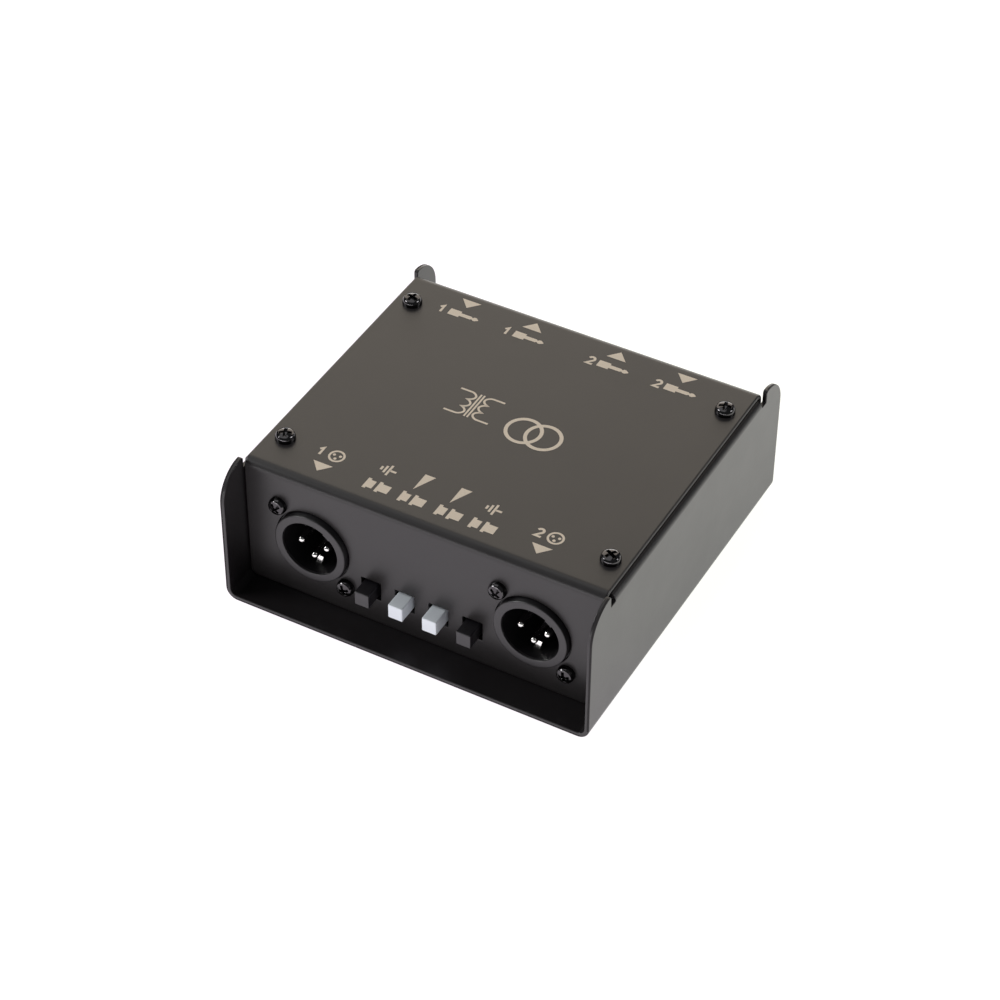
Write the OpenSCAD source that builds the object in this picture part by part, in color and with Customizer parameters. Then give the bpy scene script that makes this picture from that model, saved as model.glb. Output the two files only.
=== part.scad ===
// Stereo passive direct injection box, built as its separate pieces.
// A folded tray with two guarding cheeks carries a folded cover. Two output
// sockets and four push switches sit behind the cover's front panel, and four
// jacks behind its rear panel, all joined to one circuit board.
// Units are millimetres. The front faces -Y, up is +Z, and the origin lies
// under the middle of the case, level with the soles of the feet.

/* [Case] */
// Width over the two cheeks
case_w = 127; // [125:1:150]
// Length of the tray from front to rear
case_d = 129; // [125:1:150]
// Height from the underside of the tray to the top of the cover
case_h = 48.6; // [46:0.2:60]
// Thickness of the steel sheet
sheet = 1.5; // [1:0.1:2]
// Depth of both panels behind the ends of the cheeks
panel_recess = 11.5; // [9:0.5:14]
// Inner radius of the bends between the tray's floor and its cheeks
floor_bend_inner_r = 2.5; // [1:0.5:4]
// Inner radius of the bends between the cover's top and its panels
cover_bend_inner_r = 1.5; // [0.5:0.5:3]
// Inner radius of the bends between the cheeks and their flanges
flange_bend_inner_r = 0.5; // [0.3:0.1:1.2]
// Reach of the flanges, measured from the outer face of a cheek
flange_w = 12; // [11:0.5:16]
// Radius of the upper corners at the ends of the cheeks
ear_r = 11; // [6:0.5:12]
// Height of the cheeks' ends above the top of the cover
ear_rise = 0.6; // [0:0.1:2]
// Width of the relief slots beside the flanges
relief_w = 3; // [1.5:0.1:4]
// Depth of the relief slots below the flange bends
relief_drop = 0.2; // [0.1:0.1:2]
// Radius of the cheeks' ends beside the relief slots
ear_tip_r = 1; // [0.3:0.1:2]
// Gap between the cover's side edges and the cheeks
cover_side_gap = 0.2; // [0.1:0.05:0.4]
// Gap between the panels' lower edges and the tray's floor
cover_floor_gap = 0.2; // [0.1:0.05:0.5]

/* [Feet] */
// Height of a rubber foot
foot_h = 2.5; // [1.5:0.1:6]
// Radius of a foot where it meets the tray
foot_r = 6.5; // [4:0.5:8]
// Taper of a foot from top to sole, on the radius
foot_taper = 0.8; // [0:0.1:2]
// Distance of the foot centres from the tray's sides and ends
foot_inset = 11.5; // [10:0.5:14]

/* [Cover screws] */
// Distance of the screws from the cover's side edges
cover_screw_inset = 6; // [5.5:0.1:7]
// Distance of the screws behind the outer faces of the panels
cover_screw_setback = 14.5; // [10:0.5:20]
// Radius of a cover screw's head
cover_head_r = 3.25; // [2.8:0.05:3.6]
// Height of a cover screw's head
cover_head_h = 2.6; // [1.8:0.1:3.2]
// Radius of a cover screw's shank
cover_shank_r = 1.45; // [1.2:0.05:1.6]
// Length of a cover screw's shank
cover_shank_l = 6.5; // [6:0.1:10]
// Radius of a clinch nut
clinch_nut_r = 3; // [2.6:0.1:3.5]
// Height of a clinch nut
clinch_nut_h = 2.5; // [2:0.1:3.5]

/* [Output sockets] */
// Place of a socket's axis, as a share of the way from the middle to a cheek
socket_share = 0.6161; // [0.6:0.0001:0.63]
// Gap between a socket's barrel and the circuit board
socket_board_gap = 1; // [0.4:0.1:2]
// Reach of a socket's nose in front of the panel
socket_proud = 2; // [1:0.1:4]
// Outer radius of the nose
nose_r = 12.5; // [12:0.1:13]
// Inner radius of the cavity
cavity_r = 9.7; // [9.4:0.1:10]
// Depth of the cavity behind the nose's face
cavity_depth = 15.5; // [13:0.5:18]
// Gap between the nose and the edge of the panel's hole
nose_gap = 0.4; // [0.2:0.05:0.8]
// Radius of the barrel behind the flange
barrel_r = 11.9; // [11.4:0.1:12]
// Thickness of the flange behind the panel
socket_flange_t = 3; // [2:0.1:4]
// Radius of the round part of the flange
socket_flange_r = 14.2; // [13.6:0.1:14.6]
// Thickness of the wall that holds the contacts
insulator_t = 2.5; // [2:0.1:4]
// Spacing of the two diagonal screws, along X and along Z
socket_screw_pitch = 23.4; // [22.6:0.1:24]
// Radius of the flange's ears round the screws
socket_ear_r = 4.5; // [3.5:0.1:4.8]
// Radius of a socket screw's head
socket_head_r = 3; // [2.5:0.1:3.2]
// Height of a socket screw's head
socket_head_h = 2.5; // [1.8:0.1:3]
// Radius of a socket screw's shank
socket_shank_r = 1.4; // [1:0.05:1.6]
// Radius of the circle on which the contact pins stand
pin_circle_r = 4.5; // [4.2:0.1:4.8]
// Radius of a contact pin
pin_r = 1.2; // [1:0.05:1.3]
// Depth of the pins' tips behind the nose's face
pin_recess = 2; // [1:0.5:4]
// Width of the earth spring
earth_spring_w = 1.8; // [1.2:0.1:2.6]
// Thickness of the earth spring
earth_spring_t = 0.4; // [0.3:0.05:0.6]

/* [Push switches] */
// Gap between an outer button cap and the head of the socket screw beside it
button_row_gap = 3.3; // [2.5:0.1:4.5]
// Width of a button cap
cap_w = 5; // [4.5:0.1:5.6]
// Height of a button cap
cap_h = 5.2; // [4.6:0.1:5.8]
// Reach of a cap in front of the panel when it is out
cap_proud = 5.8; // [4:0.1:7]
// Length of a cap
cap_l = 8.8; // [8:0.1:9.5]
// Travel of a button
button_travel = 2.8; // [2:0.1:3.2]
// Gap between a cap and the edge of its window in the panel
window_gap = 0.9; // [0.5:0.1:1.2]
// Width of a switch body
switch_w = 8.4; // [8:0.1:9.5]
// Height of a switch body
switch_h = 8.4; // [8:0.1:9.5]
// Length of a switch body
switch_l = 15; // [14:0.1:18]
// Gap between a fully pressed cap and its switch body
cap_stop_gap = 0.7; // [0.3:0.1:1.5]
// Width of a plunger's square stem
stem_w = 2.9; // [2.4:0.1:3.2]
// Width of a plunger's square collar
collar_w = 4.8; // [4.2:0.1:5.2]
// Length of a plunger's collar
collar_l = 6; // [4:0.1:7]
// Running gap round a plunger in its body
plunger_gap = 0.15; // [0.1:0.01:0.25]

/* [Jacks] */
// Place of an input jack's axis, as a share of the way from the middle to a cheek
input_share = 0.6226; // [0.58:0.0001:0.66]
// Place of a link jack's axis, as a share of the same way
link_share = 0.2419; // [0.2:0.0001:0.28]
// Width of a jack body
jack_w = 15.5; // [14:0.1:18]
// Height of a jack body
jack_h = 16; // [14:0.1:18]
// Length of a jack body behind the panel
jack_l = 26; // [24:0.5:30]
// Radius of the bore that takes a 6.35 mm plug
jack_bore_r = 3.2; // [3.2:0.05:3.3]
// Outer radius of the threaded nose
jack_nose_r = 4.5; // [4.3:0.1:5]
// Length of the nose in front of the body
jack_nose_l = 6; // [5.6:0.1:8]
// Thickness of a jack body's rear wall behind the bore
jack_end_wall = 2; // [1:0.1:3]
// Radius of the round jack nuts
jack_nut_r = 6.5; // [6:0.1:7.5]
// Thickness of the jack nuts
jack_nut_h = 2.4; // [2:0.1:3]
// Radius of the jack washers
jack_washer_r = 7; // [6.2:0.1:8]
// Thickness of the jack washers
jack_washer_h = 0.6; // [0.4:0.1:1]

/* [Circuit board] */
// Thickness of the board
board_t = 1.6; // [1:0.1:2.4]
// Height of the standoffs above the tray's floor
standoff_h = 7.5; // [6.5:0.1:10]
// Gap between the board and the cheeks
board_side_gap = 4; // [3:0.5:6]
// Gap between the board and the inner faces of the panels
board_panel_gap = 3.5; // [3.2:0.1:5]
// Distance of the board's fixing holes from its side edges
board_hole_inset = 4; // [3.5:0.1:5]
// Distance of the fixing holes from the board's front and rear edges
board_hole_setback = 8; // [6:0.5:12]
// Radius across the corners of a hexagonal standoff
standoff_r = 3; // [2.7:0.1:3.4]
// Radius of a board screw's shank
board_shank_r = 1.4; // [1:0.05:1.5]
// Radius of a board screw's head
board_head_r = 2.7; // [2.2:0.1:3]
// Height of a board screw's head
board_head_h = 1.7; // [1.2:0.1:2]

/* [Transformers] */
// Distance of each transformer from the middle of the case
transformer_x = 26; // [20:0.5:34]
// Place of the transformers along the case
transformer_y = -5; // [-8:0.5:-3]
// Width of a core
core_w = 28; // [24:0.5:32]
// Height of a core
core_h = 24; // [20:0.5:26]
// Thickness of a core's stack
core_stack = 16; // [12:0.5:17]
// Width of the middle leg, twice that of the outer legs
leg_w = 7; // [5:0.2:8]
// Wall of the bobbin
bobbin_wall = 0.8; // [0.6:0.1:1.2]
// Gap between the bobbin and the core
bobbin_gap = 0.1; // [0.05:0.05:0.3]
// Reach of the winding in front of and behind the core
winding_bulge = 5; // [3:0.1:5.2]
// Thickness of the clamp strap
strap_t = 0.8; // [0.6:0.1:1.2]
// Width of the clamp strap
strap_w = 12; // [8:0.5:15]

/* [Hidden] */
$fn = 64;
e = 0.01;

LEFT = -1;
RIGHT = 1;
sides = [LEFT, RIGHT];

// Heights, from the floor up
tray_z = foot_h;
floor_z = tray_z + sheet;
board_under_z = floor_z + standoff_h;
board_z = board_under_z + board_t;
cover_z = tray_z + case_h;
flange_z = cover_z - sheet;
ear_z = cover_z + ear_rise;

// Depths, from front to rear
cover_d = case_d - 2 * panel_recess;
panel_y = cover_d / 2;
panel_inner_y = panel_y - sheet;
floor_bend_r = floor_bend_inner_r + sheet;
cover_bend_r = cover_bend_inner_r + sheet;
flange_bend_r = flange_bend_inner_r + sheet;
// The flanges end just before the cover's bends begin
flange_end_gap = 0.2;
flange_half_l = panel_y - cover_bend_r - flange_end_gap;
ear_start_y = flange_half_l + relief_w;
cheek_inner_x = case_w / 2 - sheet;
cover_w = 2 * (cheek_inner_x - cover_side_gap);

// Cover screws
cover_screw_x = cover_w / 2 - cover_screw_inset;
cover_screw_y = panel_y - cover_screw_setback;
shank_gap = 0.05;
hole_gap = 0.25;

// Output sockets
socket_x = cheek_inner_x * socket_share;
socket_z = board_z + socket_board_gap + barrel_r;
nose_face_y = -panel_y - socket_proud;
flange_rear_y = -panel_inner_y + socket_flange_t;
insulator_y = nose_face_y + cavity_depth;
insulator_rear_y = insulator_y + insulator_t;
screw_offset = socket_screw_pitch / 2;
pin_places = [[-pin_circle_r, 0], [pin_circle_r, 0], [0, -pin_circle_r]];
tail_w = 0.9;
tail_below = 1.5;
pin_tail_y = insulator_rear_y + 2;
earth_spring_low = cavity_r - 0.3;

// Push switches: the four caps share the room between the two socket screws
outer_button_x = socket_x - screw_offset - socket_head_r - button_row_gap - cap_w / 2;
button_pitch = outer_button_x / 1.5;
cap_front_y = -panel_y - cap_proud;
cap_rear_y = cap_front_y + cap_l;
switch_y = cap_rear_y + button_travel + cap_stop_gap;
switch_front_wall = 1.2;
switch_rear_wall = 1.5;
button_z = board_z + switch_h / 2;
stem_in_cap = 4.2;
collar_y = switch_y + switch_front_wall + 0.1;
cap_round = 0.35;

// Jacks
input_x = cheek_inner_x * input_share;
link_x = cheek_inner_x * link_share;
jack_xs = [-input_x, -link_x, link_x, input_x];
jack_z = board_z + jack_h / 2;
jack_mouth_y = panel_inner_y + jack_nose_l;
jack_rear_y = panel_inner_y - jack_l;
jack_bore_l = jack_nose_l + jack_l - jack_end_wall;
contact_t = 0.4;
contact_w = 3;
jack_tail_setback = 5;
jack_tail_pitch = 12;

// Circuit board
board_w = 2 * (cheek_inner_x - board_side_gap);
board_d = 2 * (panel_inner_y - board_panel_gap);
board_hole_x = board_w / 2 - board_hole_inset;
board_hole_y = board_d / 2 - board_hole_setback;
fixing_places = [for (sx = sides, sy = sides) [sx * board_hole_x, sy * board_hole_y]];
lead_r = 0.4;
lead_gap = 0.1;
lead_below = 1.5;

// Transformers
window_w = (core_w - 2 * leg_w) / 2;
window_h = core_h - leg_w;
yoke_h = leg_w / 2;
bobbin_side = leg_w / 2 + bobbin_gap + bobbin_wall;
bobbin_depth = core_stack / 2 + bobbin_gap + bobbin_wall;
cheek_plate = 0.8;
bobbin_reach_x = leg_w / 2 + window_w - 0.3;
bobbin_reach_y = core_stack / 2 + winding_bulge + 0.8;
bobbin_z = board_z + yoke_h + bobbin_gap;
bobbin_h = window_h - 2 * bobbin_gap;
rail_w = 2.6;
rail_y = bobbin_reach_y - rail_w / 2;
strap_gap = 0.1;
strap_tab_w = 3;
strap_tab_gap = 0.15;

// Places of the component leads and terminals in the board
switch_pins = [for (i = [0:3], sx = sides, k = [0:2])
    [switch_x(i) + sx * 2.5, switch_y + switch_l / 2 + (k - 1) * 4]];
socket_pins_xy = [for (s = sides, p = pin_places) [s * socket_x + p[0], pin_tail_y]];
jack_pins = [for (x = jack_xs, sx = sides, k = [0:1])
    [x + sx * (jack_w / 2 + contact_t / 2), jack_rear_y + jack_tail_setback + k * jack_tail_pitch]];
transformer_pin_pitch = 5;
rail_pin_depth = yoke_h - 0.5;
rail_pins = [for (sy = sides, k = [-1.5:1:1.5]) [k * transformer_pin_pitch, sy * rail_y]];
transformer_pins_xy = [for (s = sides, p = rail_pins) [s * transformer_x + p[0], transformer_y + p[1]]];
resistor_l = 6.3;
resistor_r = 1.15;
resistor_span = 10.2;
// The small parts lie midway between the transformers and the jacks
passive_y = (transformer_y + bobbin_reach_y + jack_rear_y) / 2;
resistor_places = [for (s = sides, k = [0:2]) [s * link_x * (0.8 + 0.4 * k), passive_y]];
resistor_pins = [for (p = resistor_places, sy = sides) [p[0], p[1] + sy * resistor_span / 2]];
capacitor_size = [7.2, 3.5, 7];
capacitor_span = 5;
capacitor_gap = 2.5;
capacitor_dy = (capacitor_size[1] + capacitor_gap) / 2;
capacitor_places = [for (s = sides, sy = sides) [s * input_x, passive_y + sy * capacitor_dy]];
capacitor_pins = [for (p = capacitor_places, sx = sides) [p[0] + sx * capacitor_span / 2, p[1]]];
lead_holes = concat(switch_pins, socket_pins_xy, jack_pins, transformer_pins_xy,
                    resistor_pins, capacitor_pins);

function switch_x(i) = (i - 1.5) * button_pitch;

// ---- Helpers -------------------------------------------------------------

// Carries a Y-Z outline across the case, centred on X
module across_x(width) {
    rotate([90, 0, 90]) translate([0, 0, -width / 2]) linear_extrude(width) children();
}

// Carries an upright X-Z outline towards +Y, starting at y
module from_y(y, length) {
    translate([0, y + length, 0]) rotate([90, 0, 0]) linear_extrude(length) children();
}

// A rectangular bar along +Y, centred on X and Z
module upright_bar(y, length, width, height) {
    translate([-width / 2, y, -height / 2]) cube([width, length, height]);
}

// A round bar along +Y
module bar_y(y, length, r) {
    translate([0, y, 0]) rotate([-90, 0, 0]) cylinder(h = length, r = r);
}

// A body of revolution about the Y axis, drawn as radius and distance along +Y
module turned_y() {
    rotate([-90, 0, 0]) rotate_extrude() children();
}

module at_places(places, z) {
    for (p = places) translate([p[0], p[1], z]) children();
}

// A rectangle with rounded corners, centred on the origin
module rounded_plate(width, depth, r) {
    square([width - 2 * r, depth], center = true);
    square([width, depth - 2 * r], center = true);
    for (sx = sides, sy = sides) translate([sx * (width / 2 - r), sy * (depth / 2 - r)]) circle(r);
}

// A rectangle from the base line up, with both lower corners rounded
module round_bottomed(width, height, r) {
    translate([-width / 2, r]) square([width, height - r]);
    translate([-width / 2 + r, 0]) square([width - 2 * r, height]);
    for (s = sides) translate([s * (width / 2 - r), r]) circle(r);
}

// The outline of a sheet folded into a U, open at the top
module folded_u(width, height, outer_r) {
    difference() {
        round_bottomed(width, height, outer_r);
        translate([0, sheet]) round_bottomed(width - 2 * sheet, height, outer_r - sheet);
    }
}

// A pan-head screw, head up, with its seat at the origin and a cross recess
module pan_screw(head_r, head_h, shank_r, shank_l) {
    dome_r = head_r * 1.8;
    slot_w = head_r * 0.24;
    slot_l = head_r * 1.1;
    slot_depth = head_h * 0.6;
    difference() {
        union() {
            intersection() {
                cylinder(h = head_h, r = head_r);
                translate([0, 0, head_h - dome_r]) sphere(dome_r);
            }
            translate([0, 0, -shank_l]) cylinder(h = shank_l + e, r = shank_r);
        }
        for (a = [0, 90]) rotate(a) translate([0, 0, head_h - slot_depth / 2])
            cube([slot_l, slot_w, slot_depth + e], center = true);
    }
}

// ---- Case ----------------------------------------------------------------

// The side view of a cheek: full height at both ends, lower under the cover
module cheek_outline() {
    waist_z = flange_z - flange_bend_r;
    difference() {
        translate([-case_d / 2, tray_z]) square([case_d, ear_z - tray_z]);
        for (s = sides) translate([s * (case_d / 2 - ear_r), ear_z - ear_r]) difference() {
            translate([s > 0 ? 0 : -ear_r - 1, 0]) square([ear_r + 1, ear_r + 1]);
            circle(ear_r);
        }
        translate([-ear_start_y, waist_z]) square([2 * ear_start_y, case_h]);
        for (s = sides) translate([s * (ear_start_y + ear_tip_r), ear_z - ear_tip_r]) difference() {
            translate([s > 0 ? -ear_tip_r - e : 0, 0]) square([ear_tip_r + e, ear_tip_r + 1]);
            circle(ear_tip_r);
        }
        for (s = sides) translate([s * (flange_half_l + relief_w / 2), waist_z])
            translate([-relief_w / 2, -relief_drop]) square([relief_w, relief_drop + e]);
    }
}

// The end view of the right cheek's inward bend and flange
module flange_outline() {
    bend_x = case_w / 2 - flange_bend_r;
    bend_z = flange_z - flange_bend_r;
    translate([bend_x, bend_z]) difference() {
        intersection() {
            circle(flange_bend_r);
            square(flange_bend_r);
        }
        circle(flange_bend_inner_r);
    }
    translate([case_w / 2 - flange_w, flange_z - sheet])
        square([flange_w - flange_bend_r, sheet]);
}

module base_tray() {
    color([0.16, 0.155, 0.15]) difference() {
        union() {
            intersection() {
                from_y(-case_d / 2, case_d)
                    translate([0, tray_z]) folded_u(case_w, case_h + ear_rise, floor_bend_r);
                across_x(case_w) cheek_outline();
            }
            from_y(-flange_half_l, 2 * flange_half_l) flange_outline();
            from_y(-flange_half_l, 2 * flange_half_l) mirror([1, 0]) flange_outline();
        }
        for (sx = sides, sy = sides) translate([sx * cover_screw_x, sy * cover_screw_y, flange_z - sheet - 1])
            cylinder(h = sheet + 2, r = cover_shank_r + hole_gap);
        at_places(fixing_places, tray_z - 1) cylinder(h = sheet + 2, r = spigot_r() + shank_gap);
    }
}

// The upright outline of one socket's hole and screw holes in the panel
module socket_cutout() {
    circle(nose_r + nose_gap);
    socket_screw_places() circle(socket_shank_r + hole_gap);
}

// Puts its children at the upper left and lower right screws of a socket
module socket_screw_places() {
    for (s = sides) translate([s * screw_offset, -s * screw_offset]) children();
}

module cover() {
    panel_h = case_h - sheet - cover_floor_gap;
    color([0.35, 0.33, 0.30]) difference() {
        intersection() {
            across_x(cover_w) translate([0, cover_z]) mirror([0, 1])
                folded_u(cover_d, panel_h, cover_bend_r);
            // The panels' lower corners clear the bends of the tray's floor
            from_y(-panel_y, cover_d) translate([0, cover_z - panel_h])
                round_bottomed(cover_w, panel_h, floor_bend_inner_r);
        }
        from_y(-panel_y - 1, sheet + 2) for (s = sides)
            translate([s * socket_x, socket_z]) socket_cutout();
        from_y(-panel_y - 1, sheet + 2) for (i = [0:3])
            translate([switch_x(i), button_z])
                square([cap_w + 2 * window_gap, cap_h + 2 * window_gap], center = true);
        for (x = jack_xs) translate([x, 0, jack_z])
            bar_y(panel_inner_y - 1, sheet + 2, jack_nose_r + hole_gap);
        for (sx = sides, sy = sides) translate([sx * cover_screw_x, sy * cover_screw_y, flange_z - 1])
            cylinder(h = sheet + 2, r = cover_shank_r + hole_gap);
    }
}

module cover_screws() {
    color([0.05, 0.05, 0.055]) for (sx = sides, sy = sides)
        translate([sx * cover_screw_x, sy * cover_screw_y, cover_z])
            pan_screw(cover_head_r, cover_head_h, cover_shank_r, cover_shank_l);
}

// Round clinch nuts under the flanges
module clinch_nuts() {
    color([0.72, 0.72, 0.70]) for (sx = sides, sy = sides)
        translate([sx * cover_screw_x, sy * cover_screw_y, flange_z - sheet - clinch_nut_h]) difference() {
            cylinder(h = clinch_nut_h, r = clinch_nut_r);
            translate([0, 0, -1]) cylinder(h = clinch_nut_h + 2, r = cover_shank_r + shank_gap);
        }
}

module rubber_feet() {
    foot_x = case_w / 2 - foot_inset;
    foot_y = case_d / 2 - foot_inset;
    color([0.06, 0.06, 0.06]) for (sx = sides, sy = sides)
        translate([sx * foot_x, sy * foot_y, 0]) cylinder(h = foot_h, r1 = foot_r - foot_taper, r2 = foot_r);
}

// ---- Output sockets ------------------------------------------------------

// Half section of the nose and barrel: radius against distance from the face
module socket_section() {
    round_r = 0.5;
    lead_in = 0.4;
    face_to_flange = socket_proud + sheet;
    total_l = cavity_depth + insulator_t;
    polygon([[cavity_r, lead_in], [cavity_r + lead_in, 0], [nose_r - round_r, 0],
             [nose_r, round_r], [nose_r, face_to_flange + e], [barrel_r, face_to_flange + e],
             [barrel_r, total_l], [0, total_l], [0, cavity_depth], [cavity_r, cavity_depth]]);
}

// The flange behind the panel: a disc with two ears on the diagonal
module socket_flange_outline() {
    circle(socket_flange_r);
    socket_screw_places() circle(socket_ear_r);
    rotate(-45) square([2 * screw_offset * sqrt(2), 2 * socket_ear_r - 1], center = true);
}

// The guiding key inside the nose, at the upper right
module socket_key() {
    key_w = 1.6;
    key_h = 0.7;
    key_front = 1;
    in_wall = 0.6;
    rotate([0, -45, 0]) translate([cavity_r + (in_wall - key_h) / 2, 0, 0])
        upright_bar(nose_face_y + key_front, cavity_depth - key_front + in_wall, key_h + in_wall, key_w);
}

module output_socket(side) {
    color([0.09, 0.09, 0.095]) translate([side * socket_x, 0, socket_z]) difference() {
        union() {
            translate([0, nose_face_y, 0]) turned_y() socket_section();
            from_y(-panel_inner_y, socket_flange_t) difference() {
                socket_flange_outline();
                circle(cavity_r + 0.2);
                socket_screw_places() circle(socket_shank_r + shank_gap);
            }
            socket_key();
        }
        for (p = pin_places) translate([p[0], 0, p[1]])
            bar_y(insulator_y - 1, insulator_t + 2, pin_r + shank_gap);
        translate([0, 0, -earth_spring_low + earth_spring_t / 2])
            upright_bar(insulator_y - 1, insulator_t + 2,
                        earth_spring_w + 2 * shank_gap, earth_spring_t + 2 * shank_gap);
    }
}

// Three round-tipped pins whose tails turn down through the board
module socket_pins(side) {
    tip_y = nose_face_y + pin_recess;
    tail_bottom = board_under_z - tail_below - socket_z;
    color([0.85, 0.84, 0.80]) translate([side * socket_x, 0, socket_z]) for (p = pin_places) {
        translate([p[0], tip_y + pin_r, p[1]]) sphere(pin_r);
        translate([p[0], 0, p[1]]) bar_y(tip_y + pin_r, pin_tail_y - tip_y - pin_r, pin_r);
        translate([p[0] - tail_w / 2, pin_tail_y - tail_w / 2, tail_bottom])
            cube([tail_w, tail_w, p[1] - tail_bottom]);
    }
}

// A bent leaf on the cavity's floor with a raised contact near its free end
module earth_spring(side) {
    low = -earth_spring_low;
    t = earth_spring_t;
    ramp_l = 3;
    front = nose_face_y + pin_recess + ramp_l;
    lip = low + t / 2;
    crest_y = front + ramp_l;
    crest = low + ramp_l / 3;
    heel_y = crest_y + ramp_l * 0.7;
    tail_y = insulator_rear_y + 1;
    color([0.9, 0.89, 0.86]) translate([side * socket_x, 0, socket_z]) across_x(earth_spring_w)
        polygon([[front, lip], [crest_y, crest], [heel_y, low], [tail_y, low],
                 [tail_y, low + t], [heel_y, low + t], [crest_y, crest + t], [front, lip + t]]);
}

module socket_screws() {
    color([0.05, 0.05, 0.055]) for (s = sides) translate([s * socket_x, -panel_y, socket_z])
        rotate([90, 0, 0]) socket_screw_places()
            pan_screw(socket_head_r, socket_head_h, socket_shank_r, sheet + socket_flange_t - 0.2);
}

// ---- Push switches -------------------------------------------------------

// A square cap with a softened front edge and a blind socket for the stem
module button_cap(i, tone) {
    color(tone) translate([switch_x(i), 0, button_z]) difference() {
        intersection() {
            from_y(cap_front_y, cap_l) rounded_plate(cap_w, cap_h, cap_round);
            across_x(cap_w) translate([cap_front_y + cap_l / 2, 0])
                rounded_plate(cap_l, cap_h, cap_round);
            translate([0, cap_front_y + cap_l / 2, -cap_h / 2]) linear_extrude(cap_h)
                rounded_plate(cap_w, cap_l, cap_round);
        }
        upright_bar(cap_rear_y - stem_in_cap, stem_in_cap + 1, stem_w, stem_w);
    }
}

// The stem that carries the cap, with the collar that stops it in its body
module plunger(i) {
    color([0.93, 0.93, 0.90]) translate([switch_x(i), 0, button_z]) {
        upright_bar(cap_rear_y - stem_in_cap, collar_y - cap_rear_y + stem_in_cap + e, stem_w, stem_w);
        upright_bar(collar_y, collar_l, collar_w, collar_w);
    }
}

// A closed body with a square mouth for the stem and a chamber for the collar
module switch_body(i) {
    chamber_w = collar_w + 2 * plunger_gap;
    mouth_w = stem_w + 2 * plunger_gap;
    color([0.12, 0.12, 0.13]) translate([switch_x(i), 0, button_z]) difference() {
        upright_bar(switch_y, switch_l, switch_w, switch_h);
        upright_bar(switch_y - 1, switch_front_wall + 1 + e, mouth_w, mouth_w);
        upright_bar(switch_y + switch_front_wall, switch_l - switch_front_wall - switch_rear_wall,
                    chamber_w, chamber_w);
    }
}

module terminals(places) {
    at_places(places, board_under_z - lead_below) cylinder(h = board_t + lead_below, r = lead_r);
}

module switch_terminals() {
    color([0.80, 0.79, 0.74]) terminals(switch_pins);
}

// ---- Jacks ---------------------------------------------------------------

module jack_body(x) {
    mouth_lead_in = 0.6;
    bore_start = jack_rear_y + jack_end_wall;
    color([0.10, 0.10, 0.10]) translate([x, 0, jack_z]) difference() {
        union() {
            from_y(jack_rear_y, jack_l) rounded_plate(jack_w, jack_h, 1);
            bar_y(panel_inner_y - 1, jack_nose_l + 1, jack_nose_r);
        }
        bar_y(bore_start, jack_bore_l + 1, jack_bore_r);
        translate([0, jack_mouth_y - mouth_lead_in, 0]) rotate([-90, 0, 0])
            cylinder(h = mouth_lead_in + e, r1 = jack_bore_r, r2 = jack_bore_r + mouth_lead_in);
    }
}

// Flat strips on both sides of each jack, with two tails through the board
module jack_contacts() {
    strip_z = jack_z - contact_w / 2;
    strip_rear_y = jack_rear_y + 3;
    strip_l = 16;
    tail_z = board_under_z - lead_below;
    color([0.80, 0.79, 0.74]) for (x = jack_xs, s = sides)
        translate([x + s * (jack_w + contact_t) / 2, 0, 0]) {
            translate([-contact_t / 2, strip_rear_y, strip_z]) cube([contact_t, strip_l, contact_w]);
            for (k = [0:1])
                translate([-contact_t / 2, jack_rear_y + jack_tail_setback + jack_tail_pitch * k - lead_r, tail_z])
                cube([contact_t, 2 * lead_r, strip_z - tail_z + e]);
        }
}

// A flat ring on a jack's nose, starting at y
module nose_ring(y, thickness, outer_r) {
    color([0.20, 0.20, 0.20]) for (x = jack_xs) translate([x, 0, jack_z]) difference() {
        bar_y(y, thickness, outer_r);
        bar_y(y - 1, thickness + 2, jack_nose_r + shank_gap);
    }
}

module jack_washers() {
    nose_ring(panel_y, jack_washer_h, jack_washer_r);
}

// Round nuts with two key slots across the face
module jack_nuts() {
    slot_w = 2;
    slot_depth = 1;
    nut_y = panel_y + jack_washer_h;
    difference() {
        nose_ring(nut_y, jack_nut_h, jack_nut_r);
        for (x = jack_xs) translate([x, 0, jack_z])
            upright_bar(nut_y + jack_nut_h - slot_depth, slot_depth + 1, 2 * jack_nut_r + 1, slot_w);
    }
}

// ---- Circuit board -------------------------------------------------------

function spigot_r() = standoff_r * 0.65;

module circuit_board() {
    color([0.05, 0.25, 0.14]) translate([0, 0, board_under_z]) difference() {
        linear_extrude(board_t) rounded_plate(board_w, board_d, 2);
        at_places(fixing_places, -1) cylinder(h = board_t + 2, r = board_shank_r + hole_gap);
        at_places(lead_holes, -1) cylinder(h = board_t + 2, r = lead_r + lead_gap + 0.15);
        for (s = sides, sx = sides) translate([s * transformer_x + sx * strap_x(), transformer_y, board_t / 2])
            cube([strap_t + 2 * strap_tab_gap, strap_tab_w + 2 * strap_tab_gap, board_t + 2], center = true);
    }
}

// Hexagonal standoffs clinched into the tray's floor
module standoffs() {
    color([0.72, 0.72, 0.70]) at_places(fixing_places, tray_z) difference() {
        union() {
            cylinder(h = sheet + e, r = spigot_r());
            translate([0, 0, sheet]) cylinder(h = standoff_h, r = standoff_r, $fn = 6);
        }
        translate([0, 0, sheet + 1]) cylinder(h = standoff_h, r = board_shank_r + shank_gap);
    }
}

module board_screws() {
    in_standoff = standoff_h * 0.6;
    color([0.75, 0.75, 0.73]) at_places(fixing_places, board_z)
        pan_screw(board_head_r, board_head_h, board_shank_r, board_t + in_standoff);
}

// ---- Transformers --------------------------------------------------------

function strap_x() = core_w / 2 + strap_gap + strap_t / 2;

module at_transformer(side) {
    translate([side * transformer_x, transformer_y, board_z]) children();
}

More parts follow.
